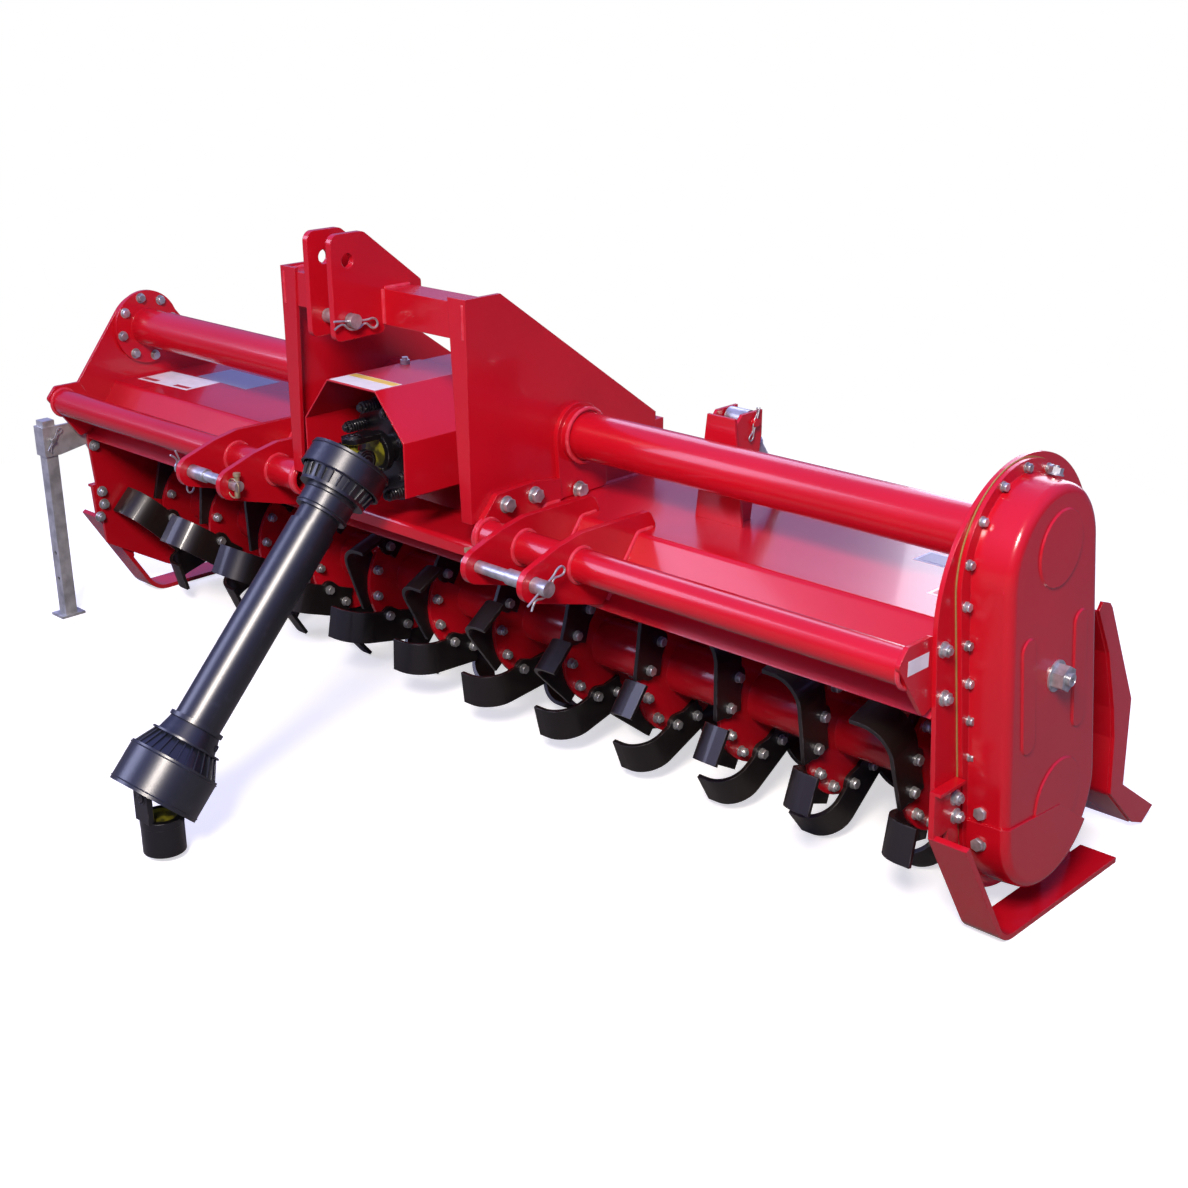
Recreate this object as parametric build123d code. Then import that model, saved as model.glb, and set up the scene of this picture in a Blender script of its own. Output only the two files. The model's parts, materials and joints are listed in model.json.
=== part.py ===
"""Rotavator: a tractor-mounted rotary tiller, 92 inches wide, with its PTO driveline.

Working axes, in mm: X to the gear-case end, Y to the rear, Z up. X = 0 is the middle of the
hitch, Y = 0 the main tube's axis and Z = 0 the ground under the skids. At the end the whole
machine is moved so that the middle of its footprint lies over the origin.
"""
from build123d import *
from math import asin, atan2, cos, radians, sin, tan
import os

# ---- frame and deck -------------------------------------------------------------------
half_width = 1188.0          # outer face of each side plate, a 92 inch machine
side_plate_t = 8.0
side_top_y = 23.0            # the gear-case end's plate has one broad arc on top
side_top_z = 582.0
side_top_r = 220.0
side_low_r = 182.0
left_top_z = 656.0
left_top_r = 94.0
tube_z = 669.0               # axis of the main tube and of the gearbox
tube_r = 44.45
tube_wall = 8.0
tube_flange_r = 86.0
tube_flange_t = 10.0
collar_r = 60.0
collar_l = 26.0
collar_step = 6.0            # the collar's ring stands this far out from the tube
collar_foot_t = 10.0
front_tube_y = -241.5
front_tube_z = 528.0
front_tube_r = 30.15
front_tube_wall = 5.0
sheet_t = 5.0
deck_top_z = 552.0           # upper face of the flat top
deck_kink_y = -98.0          # where the front slope meets the flat top
deck_lip_y = -186.0
deck_lip_z = 430.0
deck_rear_y = 205.0
bend_r = 10.0
gusset_t = 8.0
apron_y = -255.0             # front edge of the sheet between the hitch plates
apron_z = 507.0
apron_lip = 26.0

# ---- rotor ----------------------------------------------------------------------------
rotor_y = 78.0
rotor_z = 229.5
rotor_tube_r = 51.0
rotor_stub_r = 30.0
swing_r = 224.0              # over the tine tips
flange_count = 12
flange_end_gap = 87.0        # from the far side plate's outer face to the first flange's
flange_case_gap = 133.0      # and at the gear case, to the last flange's
flange_r = 128.0
flange_t = 8.0
tine_t = 8.0
tine_reach = 80.0            # from a root's outer face, across the flange, to the wing's end
tine_bend_r = 54.0
tine_bolt_u = 108.0          # the two bolts of a root, out along the radius between them
tine_bolt_v = 29.0           # and to either side of that radius
tine_pad_r = 20.0
tine_trail_deg = 67.4        # the strip runs back from that radius
tine_chord = 168.0           # from the axis to the wing's outer face, along the strip
tine_inner = 79.4            # the strip's two edges, measured across it from the axis
tine_outer = 147.8
stagger_deg = 8.4            # each flange is turned on from the last, so tines enter in turn
first_turn_deg = 142.8
hub_r = 76.0
hub_t = 16.0
cap_r = 62.0
cap_t = 18.0

# ---- gear case ------------------------------------------------------------------------
gasket_t = 2.0
case_flange_t = 8.0
case_flange_top_y = 2.0
case_flange_top_z = 641.0
case_flange_top_r = 158.0
case_flange_low_r = 172.0
case_depth = 67.0            # of the raised part over its flange
case_top_z = 647.0
case_low_y = 65.0
case_low_z = 222.0
case_top_r = 132.0
case_low_r = 146.0
case_draft = 5.0
case_edge_r = 16.0
boss_y = 6.0
boss_z = 674.0
boss_r = 62.0
low_boss_r = 70.0
boss_h = 3.0                 # the cover's pressed figures stand this far out
boss_taper = 35.0
rib_w = 38.0
ribs = (((-62.0, 528.0), (-36.0, 365.0)), ((93.0, 534.0), (118.0, 363.0)))
guard_t = 4.0
idler_y = 32.0
idler_z = 459.0
idler_r = 22.0
idler_l = 20.0
idler_washer_r = 26.0
idler_washer_t = 3.0

# ---- mast and hitch ---------------------------------------------------------------------
mast_outer_x = 258.0
mast_plate_t = 8.0
mast_front_y = -270.0
mast_flange_top = 45.0
mast_flange_low = 26.0
mast_top_z = 954.0
mast_rear_y = 224.0
mast_shoulder_y = -186.0
mast_rear_z = 668.0
cross_tube_w = 64.0
cross_tube_wall = 6.0
cross_tube_z = 914.0
cross_tube_set = 3.0         # its front face lies this far behind the mast's
rear_bar_w = 23.0
hitch_plate_t = 12.7
ear_t = 12.7
ear_nose_r = 32.0
top_gap = 52.0               # Category 2 top link
top_hole_y = -344.0
top_hole_z = 1004.8
top_pin_z = 901.0
top_pin_r = 12.7
top_pin_over = 16.0
top_nose_r = 18.0
top_nose_set = 18.0          # the ear's two upper corners, before and behind the hole
top_ear_z = 1052.0
hole_gap = 0.3
lower_pin_y = -353.0
lower_pin_z = 520.6
lower_inner_x = 352.0        # inner ear's inner face
lower_outer_x = 490.0        # outer ear's inner face
pin_small_r = 11.1
pin_large_r = 14.2
pin_start_x = 330.0
pin_step_x = 440.0
pin_end_r = 13.9             # the free end, past the outer ear
pin_end_x = 536.0
pin_end_gap = 0.5

# ---- gearbox, shroud and clutch ---------------------------------------------------------
gearbox_half_x = 112.0
gearbox_half_y = 96.0
gearbox_half_z = 90.0
gearbox_corner_r = 24.0
input_z = 639.0              # the input shaft lies below the gearbox's cross shaft
side_boss_r = 66.0
input_boss_r = 52.0
input_boss_l = 26.0
shroud_front_y = -322.0
shroud_half_w = 142.0
shroud_top_half_w = 69.0
shroud_top_z = 774.0
shroud_corner_z = 690.0
shroud_low_z = 588.0
shroud_t = 3.0
clutch_hub_r = 46.0
clutch_hub_l = 54.0          # from the input boss to the friction pack
clutch_r = 100.0
clutch_pack_l = 58.0
clutch_plate_gap = 4.0       # between the pack's plates, at their rims
spring_ring_r = 85.0
spring_count = 8
spring_r = 10.0
spring_l = 38.0
spring_bolt_r = 5.0
spring_bolt_over = 10.0

# ---- driveline --------------------------------------------------------------------------
joint_y = -324.0             # upper universal joint, on the gearbox input axis
joint_spacing = 697.0        # from the upper joint to the lower
cross_pin_r = 9.0
cross_hub_r = 16.0
yoke_r = 39.0
yoke_ear_r = 21.0
yoke_ear_t = 11.0
yoke_base = 51.0             # from the joint's middle to the yoke's base
yoke_base_t = 14.0
neck_r = 26.0
upper_neck_l = 59.0
inner_shaft_r = 18.0
inner_shaft_end = joint_spacing - 199.0      # along the shaft from the upper joint
outer_shaft_start = 188.0
outer_bore_over = 50.0       # the outer tube's bore runs on past the inner shaft's end
slide_gap = 0.5
guard_wall = 3.0
upper_guard_r = 40.0
upper_guard_end = joint_spacing - 179.0
lower_guard_r = 44.0
lower_guard_start = 153.0
upper_ring_r = 78.0
upper_ring = (7.0, 36.0)     # the upper bell's ring, along the shaft from the joint
upper_cone = (70.0, 62.0, 77.0)       # its ribbed cone: radius at the ring, at its end, and where
upper_rim = (65.0, 83.0)     # a raised edge that closes the cone: its radius, and where it ends
upper_collar_r = 50.0
collar_edge = (51.5, joint_spacing - 135.0, joint_spacing - 127.0)    # the lower collar's raised
                             # edge: radius, start and end
lower_cone = (48.0, 57.0, joint_spacing - 93.0)
bell_shoulder = (78.0, joint_spacing - 57.0)
bell_r = 84.0
bell_end = joint_spacing + 22.0
tractor_yoke_r = 38.5
tractor_bore_r = 17.5        # 1 3/8 inch shaft
tractor_bore_l = 50.0
tractor_yoke_l = 118.9089    # from the lower joint to the open end of the bore
parked_gap = 12.0            # that end over the ground, which sets how far the shaft droops

# ---- skids, stand and tailboard -----------------------------------------------------------
skid_w = 70.0
skid_t = 10.0
skid_top_y = -180.0
skid_top_z = 227.0
skid_heel_y = -40.0
skid_rear_y = 340.0
skid_bend_r = 60.0
skid_bracket_t = 10.0
skid_lip = 20.0
stand_y = -276.0
stand_w = 30.0
stand_wall = 3.0
stand_hole_r = 5.0
stand_holes_z = (95.0, 160.0)
stand_top_z = 486.0
socket_w = 40.0
socket_top_z = 472.0
socket_h = 70.0
foot_x = 50.0
foot_y = 62.0
foot_t = 6.0
hinge_y = 232.0
hinge_z = 530.0
hinge_r = 15.0
hinge_pin_r = 8.0
hinge_set = 88.0             # the end hinges, in from each side plate
hinge_middle_x = 380.0
lug_t = 10.0
tab_t = 8.0
tab_gap = 2.0
board_over = 37.0            # past each side plate
board_t = 4.0
board_end_t = 6.0
tower_x = 568.0
tower_w = 62.0
tower_foot_half_w = 54.0     # its front plate spreads towards the deck
tower_t = 6.0
tower_front_y = 46.0
tower_top_z = 750.0
tower_pin_y = 101.0
tower_pin_z = 731.0
tower_pin_r = 8.0
rod_lug_y = 308.0
rod_lug_z = 446.0
rod_lug_r = 15.0
rod_lug_gap = 22.0
rod_lug_t = 8.0
rod_pin_r = 6.0
rod_r = 9.0
rod_start = 95.0             # along the rod from the tower's pin
rod_slot_gap = 4.0           # round the lug's pin, for the lug's path
rod_slot_l = 11.0            # the eye is slotted outwards, for the lug's path
rod_eye_t = 12.0
sleeve_r = 17.0
sleeve_wall = 7.5
sleeve_l = 150.0
sleeve_eye_w = 44.0

nodes = {}


def rounded(*corners):
    """The face inside a belt laid round circles, from rows of (y, z, radius)."""
    return make_hull([edge for y, z, r in corners for edge in (Pos(y, z) * Circle(r)).edges()])


def polygon(*points):
    return make_face(Polyline(*points, close=True))


def plate(outline, x, thickness):
    """A side-view outline, thickened along X from x."""
    return extrude(Plane.YZ.offset(x) * outline, thickness)


def sheet(path, thickness, x0, x1):
    """A bent sheet whose middle follows a side-view path, from x0 to x1."""
    return plate(trace(path, line_width=thickness), x0, x1 - x0)


def bar_x(y, z, radius, x0, x1):
    """A round bar along X."""
    return Pos((x0 + x1) / 2, y, z) * Rot(0, 90, 0) * Cylinder(radius, abs(x1 - x0))


def bar_y(x, z, radius, y0, y1):
    """A round bar along Y."""
    return Pos(x, (y0 + y1) / 2, z) * Rot(90, 0, 0) * Cylinder(radius, abs(y1 - y0))


def bar_z(radius, z0, z1):
    """A round bar up local Z."""
    return Pos(0, 0, (z0 + z1) / 2) * Cylinder(radius, abs(z1 - z0))


def block(x, y, z):
    """A block from three (low, high) pairs."""
    middle = [(low + high) / 2 for low, high in (x, y, z)]
    return Pos(*middle) * Box(x[1] - x[0], y[1] - y[0], z[1] - z[0])


def opposite(solid):
    """The same piece at the other end of the machine."""
    return mirror(solid, Plane.YZ)


def turned(*rows):
    """A solid of revolution about local Z, from rows of (radius, height)."""
    return revolve(Plane.XZ * polygon(*rows), Axis.Z)


# ---- deck and side plates -----------------------------------------------------------------
inner_x = half_width - side_plate_t
half_sheet = sheet_t / 2
slope = atan2(deck_top_z - deck_lip_z, deck_kink_y - deck_lip_y)
deck_low_z = deck_top_z - sheet_t
skirt = 70.0                 # how far the cutting body runs on below the lip
under_deck = plate(polygon(
    (deck_lip_y - skirt / tan(slope), deck_lip_z - skirt), (deck_kink_y, deck_top_z),
    (deck_rear_y, deck_top_z), (deck_rear_y, deck_lip_z - skirt)), -half_width, 2 * half_width)
deck_path = FilletPolyline(
    (deck_lip_y + half_sheet * sin(slope), deck_lip_z - half_sheet * cos(slope)),
    (deck_kink_y + half_sheet * tan(slope / 2), deck_top_z - half_sheet),
    (deck_rear_y, deck_top_z - half_sheet), radius=bend_r)
nodes["deck"] = sheet(deck_path, sheet_t, -inner_x, inner_x)

hinge_lug = rounded((deck_rear_y - 45, deck_low_z - 8, 8), (deck_rear_y - 10, deck_low_z - 8, 8),
                    (hinge_y, hinge_z, hinge_r - 2))
hinge_pin_half = lug_t / 2 + tab_gap + tab_t + 6
hinge_end_x = half_width - hinge_set
hinge_xs = (-hinge_end_x, -hinge_middle_x, 0.0, hinge_middle_x, hinge_end_x)
nodes["deck_hinges"] = Compound([
    plate(hinge_lug, x - lug_t / 2, lug_t)
    + bar_x(hinge_y, hinge_z, hinge_pin_r, x - hinge_pin_half, x + hinge_pin_half)
    for x in hinge_xs])

side_front = ((-188.0, 560.0, 8.0), (-157.0, 250.0, 8.0))
side_rear = ((222.0, 98.0, 24.0), (deck_rear_y - 8, deck_top_z - 8, 8.0))
top_arc = Pos(side_top_y, side_top_z) * Circle(side_top_r) & polygon(
    (-230, 560), (205, 560), (215, 600), (240, 660), (240, 830), (-230, 830))
right_outline = top_arc + rounded((0, left_top_z, left_top_r), *side_front, (-34, 100, 20),
                                  (rotor_y, rotor_z, side_low_r), *side_rear)
left_outline = rounded((0, left_top_z, left_top_r), *side_front, (-158, 166, 8),
                       (rotor_y, rotor_z, side_low_r), *side_rear)
stub_hole = bar_x(rotor_y, rotor_z, rotor_stub_r + 2, -half_width, half_width)
nodes["side_plate_right"] = plate(right_outline, inner_x, side_plate_t) - stub_hole
nodes["side_plate_left"] = plate(left_outline, -half_width, side_plate_t) - stub_hole

gusset = rounded((-200, 560, 8), (-255, 560, 8), (-272, 541, 8), (-205, 450, 8), (-150, 470, 8))
right_gusset = plate(gusset, inner_x - gusset_t, gusset_t) - under_deck
nodes["deck_end_gussets"] = Compound([right_gusset, opposite(right_gusset)])

# ---- main tube ------------------------------------------------------------------------------
foot_corners = ((-40, deck_top_z + 14, 12), (62, deck_top_z + 14, 12))
collar = Pos(mast_outer_x, 0, tube_z) * Rot(0, 90, 0) * turned(
    (tube_r - 1, 0), (collar_r, 0), (collar_r, collar_foot_t),
    (tube_r + collar_step, collar_foot_t), (tube_r + collar_step, collar_l), (tube_r - 1, collar_l))
foot = plate(rounded((0, tube_z, collar_r), *foot_corners), mast_outer_x, collar_foot_t)
bore = bar_x(0, tube_z, tube_r - tube_wall, -half_width, half_width)
right_tube = bar_x(0, tube_z, tube_r, mast_outer_x, inner_x) + collar + foot
end_flange = bar_x(0, tube_z, tube_flange_r, -inner_x, -inner_x + tube_flange_t)
nodes["main_tube_right"] = right_tube - bore
nodes["main_tube_left"] = opposite(right_tube) + end_flange - bore

# ---- mast -------------------------------------------------------------------------------------
mast_inner_x = mast_outer_x - mast_plate_t
side = plate(polygon(
    (mast_front_y, deck_top_z), (mast_front_y, mast_top_z), (mast_shoulder_y, mast_top_z),
    (mast_rear_y, mast_rear_z), (mast_rear_y, deck_top_z)), mast_inner_x, mast_plate_t)
lip_plane = Plane(origin=(0, mast_front_y + mast_plate_t, 0), x_dir=(1, 0, 0), z_dir=(0, -1, 0))
lip = extrude(lip_plane * polygon(
    (mast_outer_x, deck_top_z), (mast_outer_x, mast_top_z),
    (mast_outer_x - mast_flange_top, mast_top_z), (mast_outer_x - mast_flange_low, deck_top_z)),
    mast_plate_t)
mast_right = side + lip
nodes["mast_plate_right"] = mast_right
nodes["mast_plate_left"] = opposite(mast_right)

tube_front = mast_front_y + cross_tube_set
cross_low = cross_tube_z - cross_tube_w / 2
cross_tube = block((-mast_inner_x, mast_inner_x), (tube_front, tube_front + cross_tube_w),
                   (cross_low, cross_low + cross_tube_w))
cross_bore = Pos(0, tube_front + cross_tube_w / 2, cross_tube_z) * Box(
    2 * mast_inner_x, cross_tube_w - 2 * cross_tube_wall, cross_tube_w - 2 * cross_tube_wall)
nodes["mast_cross_tube"] = cross_tube - cross_bore - mast_right - opposite(mast_right)
nodes["mast_rear_bar"] = block(
    (-mast_outer_x, mast_outer_x), (mast_rear_y, mast_rear_y + rear_bar_w),
    (mast_rear_z - 16 - rear_bar_w, mast_rear_z - 16))

# ---- top link clevis ----------------------------------------------------------------------------
tube_rear = tube_front + cross_tube_w
nose_z = top_ear_z - top_nose_r
front_nose = (top_hole_y - top_nose_set, nose_z, top_nose_r)
rear_nose = (top_hole_y + top_nose_set + 14, nose_z, top_nose_r)
top_ear = rounded(front_nose, rear_nose, (top_hole_y - 22, cross_low - 2, 14),
                  (tube_front - 10, cross_low - 4, 10))
over_tube = rounded(rear_nose, (tube_rear + 18, cross_low + cross_tube_w + 2, 8),
                    (tube_rear + 18, cross_low + cross_tube_w - 10, 8), (tube_front - 30, cross_low, 8))
top_half = top_gap / 2
top_holes = (bar_x(top_hole_y, top_hole_z, top_pin_r + 0.15, -top_gap, top_gap)
             + bar_x(top_hole_y, top_pin_z, top_pin_r + hole_gap, -top_gap, top_gap))
ear = plate(top_ear, top_half, ear_t) + plate(over_tube, top_half, ear_t) - top_holes - cross_tube
nodes["top_link_clevis"] = Compound([ear, opposite(ear)])
pin_half = top_half + ear_t + hole_gap
nodes["top_link_pin"] = (
    bar_x(top_hole_y, top_pin_z, top_pin_r, -pin_half, pin_half + top_pin_over)
    + bar_x(top_hole_y, top_pin_z, top_pin_r + 5, -pin_half - 6, -pin_half))

# ---- lower hitch --------------------------------------------------------------------------------
tube_hole = bar_x(front_tube_y, front_tube_z, front_tube_r, -half_width, half_width)
hitch = plate(rounded((front_tube_y, 514, 20), (-249, 552, 8), (-212, 592, 8), (-119, 596, 8),
                      (-52, 586, 8), (-46, 560, 4)), mast_outer_x, hitch_plate_t)
foot_room = plate(rounded((0, tube_z, collar_r + 2), *foot_corners), mast_outer_x, hitch_plate_t)
hitch = hitch - under_deck - tube_hole - foot_room
nodes["hitch_plates"] = Compound([hitch, opposite(hitch)])

lower_ear = rounded((lower_pin_y, lower_pin_z, ear_nose_r), (-292, 562, 12), (-237, 573, 12),
                    (-72, 572, 12), (-60, 556, 10), (-192, 450, 8))
small_hole = bar_x(lower_pin_y, lower_pin_z, pin_small_r + hole_gap, pin_start_x, pin_step_x)
large_hole = bar_x(lower_pin_y, lower_pin_z, pin_large_r + hole_gap, pin_step_x, pin_end_x)
inner_ear = plate(lower_ear, lower_inner_x, ear_t) - under_deck - tube_hole - small_hole
outer_ear = plate(lower_ear, lower_outer_x, ear_t) - under_deck - tube_hole - large_hole
free_end_x = lower_outer_x + ear_t + pin_end_gap
lower_pin = (bar_x(lower_pin_y, lower_pin_z, pin_small_r, pin_start_x, pin_step_x)
             + bar_x(lower_pin_y, lower_pin_z, pin_large_r, pin_step_x, free_end_x)
             + bar_x(lower_pin_y, lower_pin_z, pin_end_r, free_end_x, pin_end_x))
nodes["lower_clevis_right"] = Compound([inner_ear, outer_ear])
nodes["lower_clevis_left"] = Compound([opposite(inner_ear), opposite(outer_ear)])
nodes["lower_pin_right"] = lower_pin
nodes["lower_pin_left"] = opposite(lower_pin)

front_tube = (bar_x(front_tube_y, front_tube_z, front_tube_r, mast_outer_x, inner_x - gusset_t)
              - bar_x(front_tube_y, front_tube_z, front_tube_r - front_tube_wall, 0, half_width))
nodes["front_tubes"] = Compound([front_tube, opposite(front_tube)])

apron_path = FilletPolyline(
    (apron_y + half_sheet, apron_z - apron_lip), (apron_y + half_sheet, apron_z - half_sheet),
    (deck_kink_y, apron_z - half_sheet), radius=6)
nodes["front_apron"] = sheet(apron_path, sheet_t, -mast_outer_x, mast_outer_x) - under_deck

# ---- gearbox and shroud -------------------------------------------------------------------------
housing = Pos(0, 0, tube_z) * Box(2 * gearbox_half_x, 2 * gearbox_half_y, 2 * gearbox_half_z)
housing = fillet(housing.edges().filter_by(Axis.Z), gearbox_corner_r)
input_face_y = -gearbox_half_y - input_boss_l
nodes["gearbox"] = (
    housing + bar_x(0, tube_z, side_boss_r, -mast_inner_x, mast_inner_x)
    + bar_y(0, input_z, input_boss_r, 0, input_face_y)
    + block((-75, 75), (-65, 65), (deck_top_z, tube_z)))

shroud_plane = Plane(origin=(0, -gearbox_half_y, 0), x_dir=(1, 0, 0), z_dir=(0, -1, 0))
shroud_l = -gearbox_half_y - shroud_front_y


def shroud_section(low_z):
    """The shroud's front view, open below at low_z."""
    right = ((shroud_half_w, low_z), (shroud_half_w, shroud_corner_z),
             (shroud_top_half_w, shroud_top_z))
    return polygon(*right, *[(-x, z) for x, z in reversed(right)])


shroud_room = extrude(shroud_plane.offset(shroud_t) * offset(
    shroud_section(shroud_low_z - 2 * shroud_t), -shroud_t, kind=Kind.INTERSECTION), shroud_l)
nodes["pto_shroud"] = (extrude(shroud_plane * shroud_section(shroud_low_z), shroud_l)
                       - shroud_room - bar_y(0, input_z, input_boss_r + hole_gap, 0, input_face_y))


# ---- clutch and driveline -----------------------------------------------------------------------
def yoke(shank_r, shank_l):
    """A joint's fork: its ears stand along local X at the origin, its shank runs down -Z."""
    flat = Pos(0, -yoke_base - yoke_ear_r) * Rectangle(2 * yoke_ear_r, 2 * yoke_ear_r)
    ear_side = rounded((0, 0, yoke_ear_r), (0, -yoke_base, yoke_ear_r)) - flat
    fork_ear = plate(ear_side, yoke_r - yoke_ear_t, yoke_ear_t)
    shank_start = -yoke_base - yoke_base_t
    return (fork_ear + opposite(fork_ear) + bar_z(yoke_r, -yoke_base, shank_start)
            + bar_z(shank_r, shank_start, shank_start - shank_l)
            - bar_x(0, 0, cross_pin_r + hole_gap, -yoke_r, yoke_r))


def cross():
    """A universal joint's cross, its pins along local X and Y."""
    pin = bar_x(0, 0, cross_pin_r, 1 - yoke_r, yoke_r - 1)
    return pin + Rot(0, 0, 90) * pin + Sphere(cross_hub_r)


clutch_reach = input_face_y - joint_y
pack_end = clutch_hub_l + clutch_pack_l
plate_t = (clutch_pack_l - 2 * clutch_plate_gap) / 3
clutch = bar_z(clutch_hub_r, 0, clutch_hub_l) + bar_z(clutch_r - 8, clutch_hub_l, pack_end)
for k in range(3):
    plate_start = clutch_hub_l + k * (plate_t + clutch_plate_gap)
    clutch += bar_z(clutch_r, plate_start, plate_start + plate_t)
clutch += Pos(0, 0, clutch_reach) * Rot(0, 0, 90) * yoke(neck_r, clutch_reach - yoke_base - yoke_base_t)
for k in range(spring_count):
    turn = radians(360 * (k + 0.5) / spring_count)
    at_spring = Pos(spring_ring_r * cos(turn), spring_ring_r * sin(turn))
    clutch += at_spring * bar_z(spring_r, pack_end, pack_end + spring_l)
    clutch += at_spring * bar_z(spring_bolt_r, pack_end, pack_end + spring_l + spring_bolt_over)
nodes["slip_clutch"] = Pos(0, input_face_y, input_z) * Rot(90, 0, 0) * clutch

droop = asin((input_z - parked_gap - tractor_yoke_l) / joint_spacing)
shaft_dir = (0, -cos(droop), -sin(droop))
upper_joint = (0, joint_y, input_z)
lower_joint = (0, joint_y + joint_spacing * shaft_dir[1], input_z + joint_spacing * shaft_dir[2])
on_shaft = Plane(origin=upper_joint, x_dir=(1, 0, 0), z_dir=shaft_dir)
nodes["cross_upper"] = Pos(*upper_joint) * Rot(90, 0, 0) * cross()
nodes["cross_lower"] = Pos(*lower_joint) * cross()

neck_start = yoke_base + yoke_base_t
collar_at = neck_start + upper_neck_l        # end of the upper guard's collar
upper_shaft = Rot(180, 0, 0) * yoke(neck_r, upper_neck_l)
upper_shaft += bar_z(inner_shaft_r, collar_at, inner_shaft_end)
nodes["upper_shaft"] = on_shaft * upper_shaft

guard_bore = neck_r + hole_gap
upper_bore = upper_guard_r - guard_wall
cone_start_r, cone_end_r, cone_end = upper_cone
rim_r, rim_end = upper_rim
ring_start, ring_end = upper_ring
nodes["upper_guard"] = on_shaft * turned(
    (upper_ring_r, ring_start), (upper_ring_r, ring_end), (cone_start_r, ring_end),
    (cone_end_r, cone_end), (rim_r, cone_end), (rim_r, rim_end), (upper_collar_r, rim_end),
    (upper_collar_r, collar_at), (upper_guard_r, collar_at), (upper_guard_r, upper_guard_end),
    (upper_bore, upper_guard_end), (upper_bore, collar_at), (guard_bore, collar_at),
    (guard_bore, rim_end - guard_wall), (cone_end_r - guard_wall, rim_end - guard_wall),
    (cone_end_r - guard_wall, cone_end), (cone_start_r - guard_wall, ring_end - guard_wall),
    (upper_ring_r - guard_wall, ring_end - guard_wall), (upper_ring_r - guard_wall, ring_start))

lower_neck = joint_spacing - neck_start      # the lower yoke's shank begins here
lower_shaft = Pos(0, 0, joint_spacing) * yoke(neck_r, lower_neck - outer_shaft_start)
lower_shaft -= bar_z(inner_shaft_r + slide_gap, outer_shaft_start,
                     inner_shaft_end + outer_bore_over)
nodes["lower_shaft"] = on_shaft * lower_shaft

lower_bore = lower_guard_r - guard_wall
edge_r, edge_start, edge_end = collar_edge
cone_small_r, cone_large_r, cone_stop = lower_cone
shoulder_r, shoulder_at = bell_shoulder
nodes["lower_guard"] = on_shaft * turned(
    (lower_guard_r, lower_guard_start), (lower_guard_r, edge_start), (edge_r, edge_start),
    (edge_r, edge_end), (cone_small_r, edge_end), (cone_large_r, cone_stop),
    (shoulder_r, shoulder_at), (bell_r, shoulder_at), (bell_r, bell_end),
    (bell_r - guard_wall, bell_end), (bell_r - guard_wall, shoulder_at + guard_wall),
    (shoulder_r - guard_wall, shoulder_at + guard_wall),
    (cone_large_r - guard_wall, cone_stop + guard_wall), (guard_bore, cone_stop + guard_wall),
    (guard_bore, edge_start + guard_wall), (lower_bore, edge_start + guard_wall),
    (lower_bore, lower_guard_start))

tractor_yoke = Rot(0, 0, 90) * yoke(tractor_yoke_r, tractor_yoke_l - neck_start)
tractor_yoke -= bar_z(tractor_bore_r, -tractor_yoke_l, tractor_bore_l - tractor_yoke_l)
nodes["tractor_yoke"] = Pos(*lower_joint) * tractor_yoke


# ---- rotor --------------------------------------------------------------------------------------
def tine():
    """A tine bolted to a flange's +X face, its wing bent across to the -X side.

    Local Y is the radius between its two bolts and local Z leads in the way of turning.
    """
    trail = radians(tine_trail_deg)
    run = (0, cos(trail), -sin(trail))
    side_way = (0, sin(trail), cos(trail))
    across = Plane(origin=(0, 0, 0), x_dir=run, z_dir=side_way)
    wing_end = tine_reach - tine_t
    path = FilletPolyline(
        (0, -tine_t / 2), (tine_chord - tine_t / 2, -tine_t / 2),
        (tine_chord - tine_t / 2, wing_end), radius=tine_bend_r)
    strip = extrude(across.offset(tine_inner) * trace(path, line_width=tine_t),
                    tine_outer - tine_inner)
    pad = rounded((tine_bolt_u, tine_bolt_v, tine_pad_r), (tine_bolt_u, -tine_bolt_v, tine_pad_r),
                  (tine_bolt_u + tine_pad_r, -tine_bolt_v - tine_pad_r, 1))
    return (strip + plate(pad, 0, tine_t)) & bar_x(0, 0, swing_r, -tine_reach, tine_t)


flange_pitch = (2 * half_width - flange_end_gap - flange_case_gap) / (flange_count - 1)
flange_xs = [flange_end_gap - half_width + k * flange_pitch for k in range(flange_count)]
rotor_end = inner_x - hub_t
shaft = bar_x(0, 0, rotor_tube_r, -rotor_end + 8, rotor_end - 8)
shaft += bar_x(0, 0, rotor_stub_r, -inner_x, inner_x)
for x in flange_xs:
    shaft += bar_x(0, 0, flange_r, x - flange_t, x)
on_rotor = Pos(0, rotor_y, rotor_z)
nodes["rotor_shaft"] = on_rotor * shaft

right_tine = tine()
left_tine = Pos(-flange_t, 0, 0) * opposite(right_tine)
right_tines = []
left_tines = []
for k, x in enumerate(flange_xs):
    for third in range(3):
        turn_deg = first_turn_deg + stagger_deg * k + 120 * third
        left_tines.append(on_rotor * Pos(x, 0, 0) * Rot(turn_deg, 0, 0) * left_tine)
        right_tines.append(on_rotor * Pos(x, 0, 0) * Rot(turn_deg - 60, 0, 0) * right_tine)
nodes["tines_right"] = Compound(right_tines)
nodes["tines_left"] = Compound(left_tines)

stub_room = bar_x(rotor_y, rotor_z, rotor_stub_r + hole_gap, -half_width, half_width)
hub = bar_x(rotor_y, rotor_z, hub_r, inner_x - hub_t, inner_x) - stub_room
cap = bar_x(rotor_y, rotor_z, cap_r, -half_width - cap_t, -half_width)
nodes["rotor_hubs"] = Compound([hub, opposite(hub)])
nodes["rotor_end_cap"] = cap


# ---- gear case ----------------------------------------------------------------------------------
case_low = (case_low_y, case_low_z)
flange_top = (case_flange_top_y, case_flange_top_z)


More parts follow.
